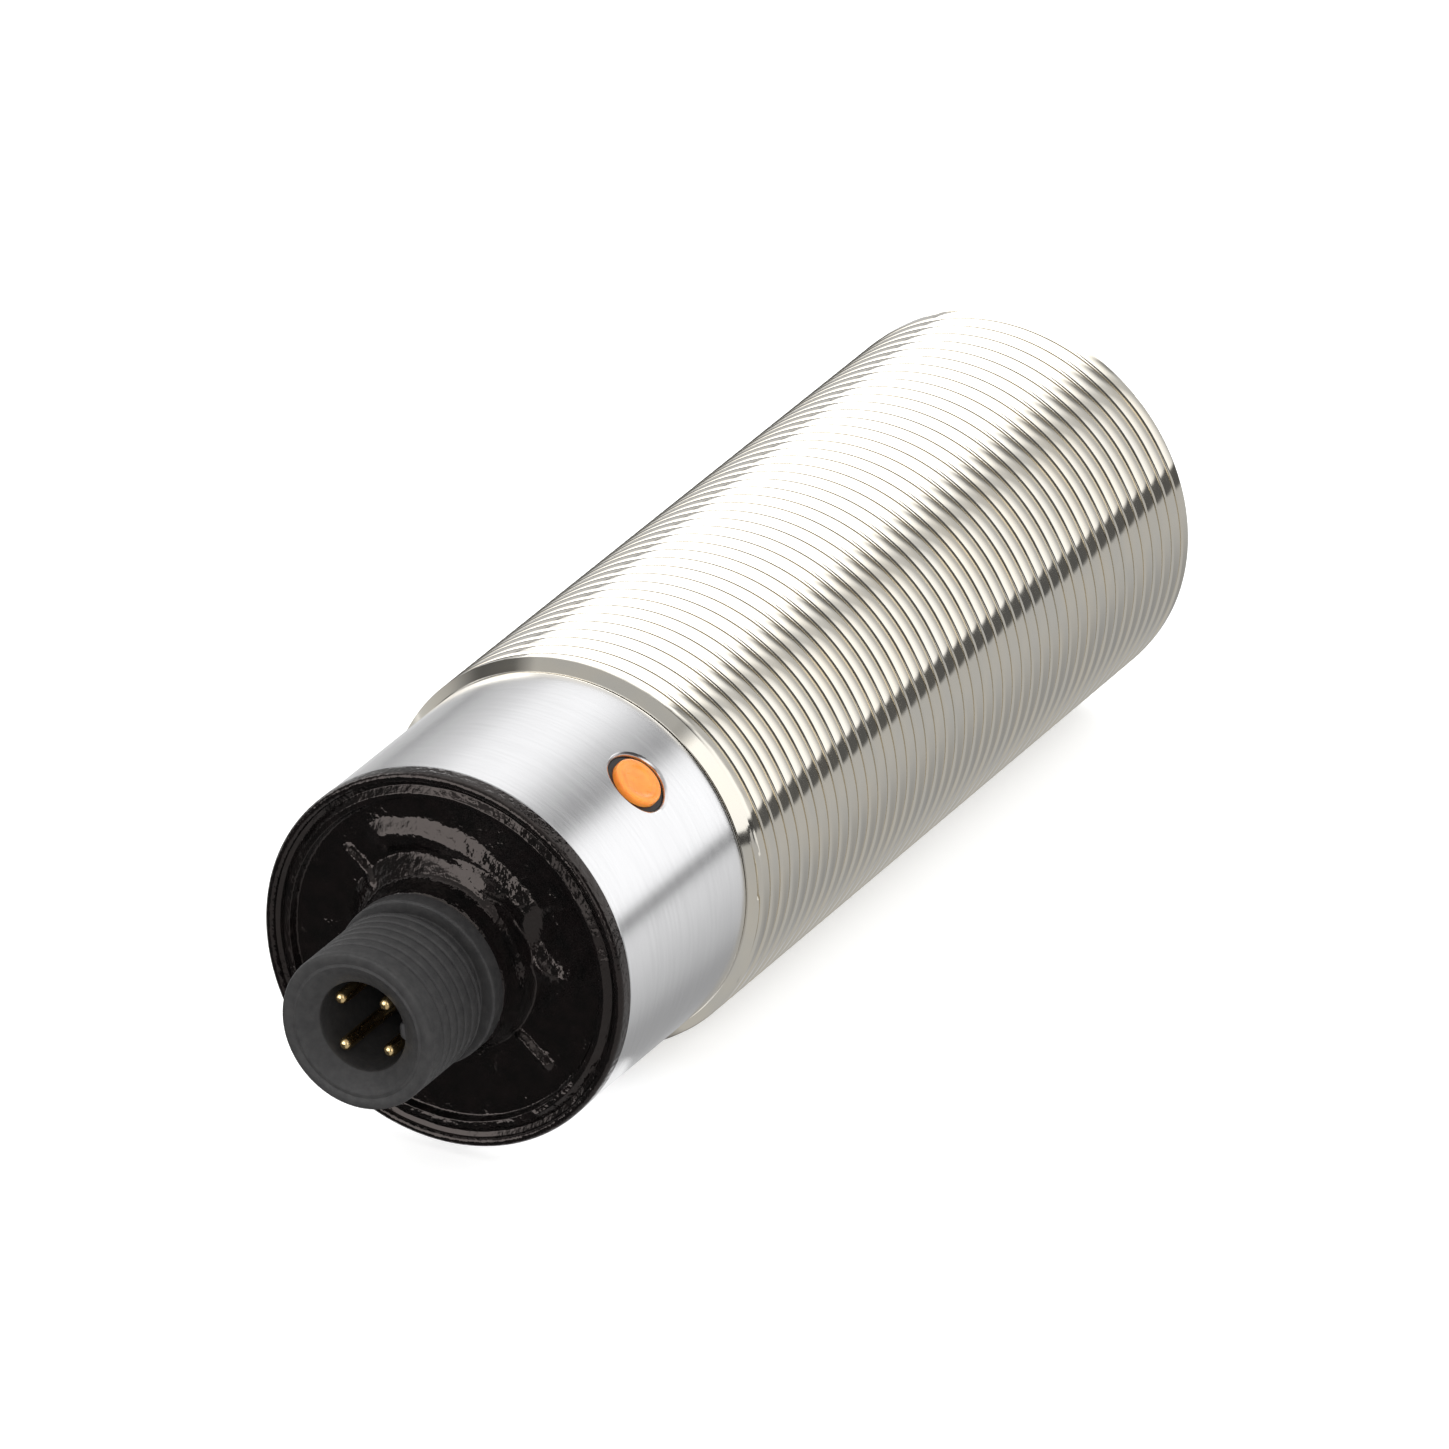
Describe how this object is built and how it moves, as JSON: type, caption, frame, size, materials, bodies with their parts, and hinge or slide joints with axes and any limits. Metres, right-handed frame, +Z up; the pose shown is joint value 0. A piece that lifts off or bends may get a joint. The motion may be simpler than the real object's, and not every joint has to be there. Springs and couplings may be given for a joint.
{
  "type": "cylindrical photoelectric sensor",
  "caption": "Threaded cylindrical photoelectric sensor: metal barrel, plain rear sleeve with indicator, black end cap and a round threaded plug; lenses behind the front window.",
  "frame": {"origin": "Centre of the sensing face, on the outer surface of the front window.", "axes": "+Y along the body's axis, out of the sensing face; the plug points along -Y; +Z up, with the indicator on the upper +X side."},
  "size_m": [0.03, 0.0995, 0.03],
  "materials": {
    "plated_brass": "bright nickel-plated brass, turned thread",
    "satin_steel": "fine turned satin stainless steel",
    "gloss_black": "glossy black resin, slightly wavy",
    "seal_rubber": "moulded black nitrile rubber",
    "plug_plastic": "matt charcoal moulded plastic",
    "carrier_plastic": "matt black moulded plastic",
    "gold_contact": "gold-plated contact, polished",
    "circuit_board": "green solder-masked laminate",
    "potting_resin": "black potting resin",
    "orange_lens": "translucent orange moulded plastic",
    "black_plastic": "black moulded plastic",
    "led_package": "amber epoxy surface-mount package",
    "chip_package": "black epoxy chip package",
    "ferrite": "dark grey sintered ferrite",
    "can_metal": "bright drawn metal can",
    "liner_plastic": "thin amber insulating tube",
    "red_emitter": "clear red epoxy dome",
    "clear_lens": "clear moulded acrylic lens",
    "window_plastic": "dark red transparent acrylic"
  },
  "bodies": {
    "root": {"threaded_barrel": "plated_brass", "plain_sleeve": "satin_steel", "rear_cap": "gloss_black", "cap_seal": "seal_rubber", "plug_housing": "plug_plastic", "plug_seal": "seal_rubber", "pin_carrier": "carrier_plastic", "contact_pin_1": "gold_contact", "contact_pin_2": "gold_contact", "contact_pin_3": "gold_contact", "contact_pin_4": "gold_contact", "plug_board": "circuit_board", "potting_ring": "potting_resin", "indicator_lens": "orange_lens", "indicator_bracket": "black_plastic", "indicator_led": "led_package", "main_board": "circuit_board", "board_rails": "black_plastic", "board_header": "black_plastic", "processor_chip": "chip_package", "output_driver": "chip_package", "power_inductor": "ferrite", "filter_capacitor": "can_metal", "signal_amplifier": "chip_package", "amplifier_shield": "can_metal", "insulating_tube": "liner_plastic", "optics_board": "circuit_board", "optics_block": "black_plastic", "emitter_led": "red_emitter", "receiver_diode": "chip_package", "emitter_lens": "clear_lens", "receiver_lens": "clear_lens", "front_bezel": "black_plastic", "window_seal": "seal_rubber", "front_window": "window_plastic"}
  },
  "joints": []
}
